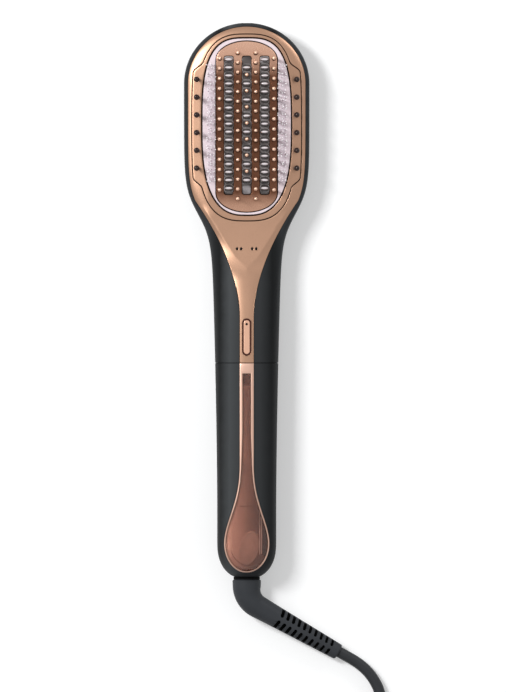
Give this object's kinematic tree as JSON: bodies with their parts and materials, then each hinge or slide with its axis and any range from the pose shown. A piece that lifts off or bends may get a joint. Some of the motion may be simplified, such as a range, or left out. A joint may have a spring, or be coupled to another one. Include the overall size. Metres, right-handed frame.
{
  "type": "steam hair straightener brush",
  "caption": "Heated steam hair straightening brush with ball-tipped pins, comb strips, a water tank in the handle, a push button and a swivelling mains cord.",
  "frame": {"origin": "centre of the body's lowest face, on the surface that the brush lies on, without the cord", "axes": "+Y along the brush towards the head, +Z out of the bristle side, +X to the right seen from the front"},
  "size_m": [0.1404, 0.4679, 0.0366],
  "materials": {
    "black_shell": "satin",
    "rose_gold": "satin metallic",
    "metal_pins": "gloss metallic",
    "copper_plate": "gloss metallic",
    "dark_pins": "gloss",
    "pale_plastic": "satin",
    "nylon": "translucent",
    "clear_comb": "clear",
    "brown_window": "clear",
    "clear_tank": "clear",
    "lens": "gloss",
    "aluminium": "cast",
    "ceramic": "matte",
    "chassis": "matte",
    "board": "matte",
    "components": "matte",
    "steel": "satin",
    "silicone": "matte",
    "wire": "matte",
    "elbow_rubber": "matte",
    "cord_rubber": "matte"
  },
  "bodies": {
    "body": {"rear_shell": "black_shell", "front_shell": "black_shell", "front_frame": "rose_gold", "pin_ring": "rose_gold", "guard_pins": "dark_pins", "bristle_carrier": "pale_plastic", "side_bristles_left": "nylon", "side_bristles_right": "nylon", "heater_plate": "copper_plate", "pins_outer_left": "metal_pins", "pins_outer_right": "metal_pins", "pins_inner_left": "metal_pins", "pins_inner_right": "metal_pins", "pins_centre": "metal_pins", "comb_strip_left": "clear_comb", "comb_strip_centre": "clear_comb", "comb_strip_right": "clear_comb", "head_chassis": "chassis", "steam_chamber": "aluminium", "chamber_gasket": "silicone", "heater_ptc": "ceramic", "heater_clamp": "aluminium", "thermal_fuse": "ceramic", "thermistor": "ceramic", "heater_leads": "wire", "handle_chassis": "chassis", "main_board": "board", "board_parts": "components", "board_screws": "steel", "indicator_lenses": "lens", "button_bezel": "dark_pins", "tact_switch": "chassis", "water_pump": "steel", "suction_tube": "silicone", "delivery_tube": "silicone", "inlet_nozzle": "chassis", "inlet_seal": "silicone", "handle_base": "black_shell", "case_screws": "steel", "power_leads": "wire", "contact_block": "chassis", "swivel_bush": "chassis"},
    "button": {"power_button": "rose_gold", "button_lens": "dark_pins", "button_plunger": "chassis"},
    "tank": {"tank_cover": "black_shell", "tank_trim": "rose_gold", "tank_window": "brown_window", "tank_vessel": "clear_tank", "vessel_cap": "clear_tank", "outlet_valve": "chassis"},
    "stopper": {"tank_stopper": "pale_plastic", "stopper_seal": "silicone"},
    "swivel": {"cord_elbow": "elbow_rubber", "swivel_clip": "steel", "cord_run": "cord_rubber", "cord_coil": "cord_rubber", "cord_tail": "cord_rubber", "cord_tie": "cord_rubber", "plug_body": "cord_rubber"}
  },
  "joints": [
    {"name": "button_press", "type": "slide", "parent": "body", "child": "button", "axis": [0, 0, -1], "range_m": [0, 0.0008], "stiffness_N_per_m": 600},
    {"name": "tank_lift", "type": "slide", "parent": "body", "child": "tank", "axis": [0, 0, 1], "range_m": [0, 0.04]},
    {"name": "stopper_pull", "type": "slide", "parent": "tank", "child": "stopper", "axis": [0, 1, 0], "range_m": [0, 0.006]},
    {"name": "cord_swivel", "type": "hinge", "parent": "body", "child": "swivel", "pos_m": [0, -0.1506, 0.01], "axis": [0, 1, 0], "continuous": true}
  ]
}
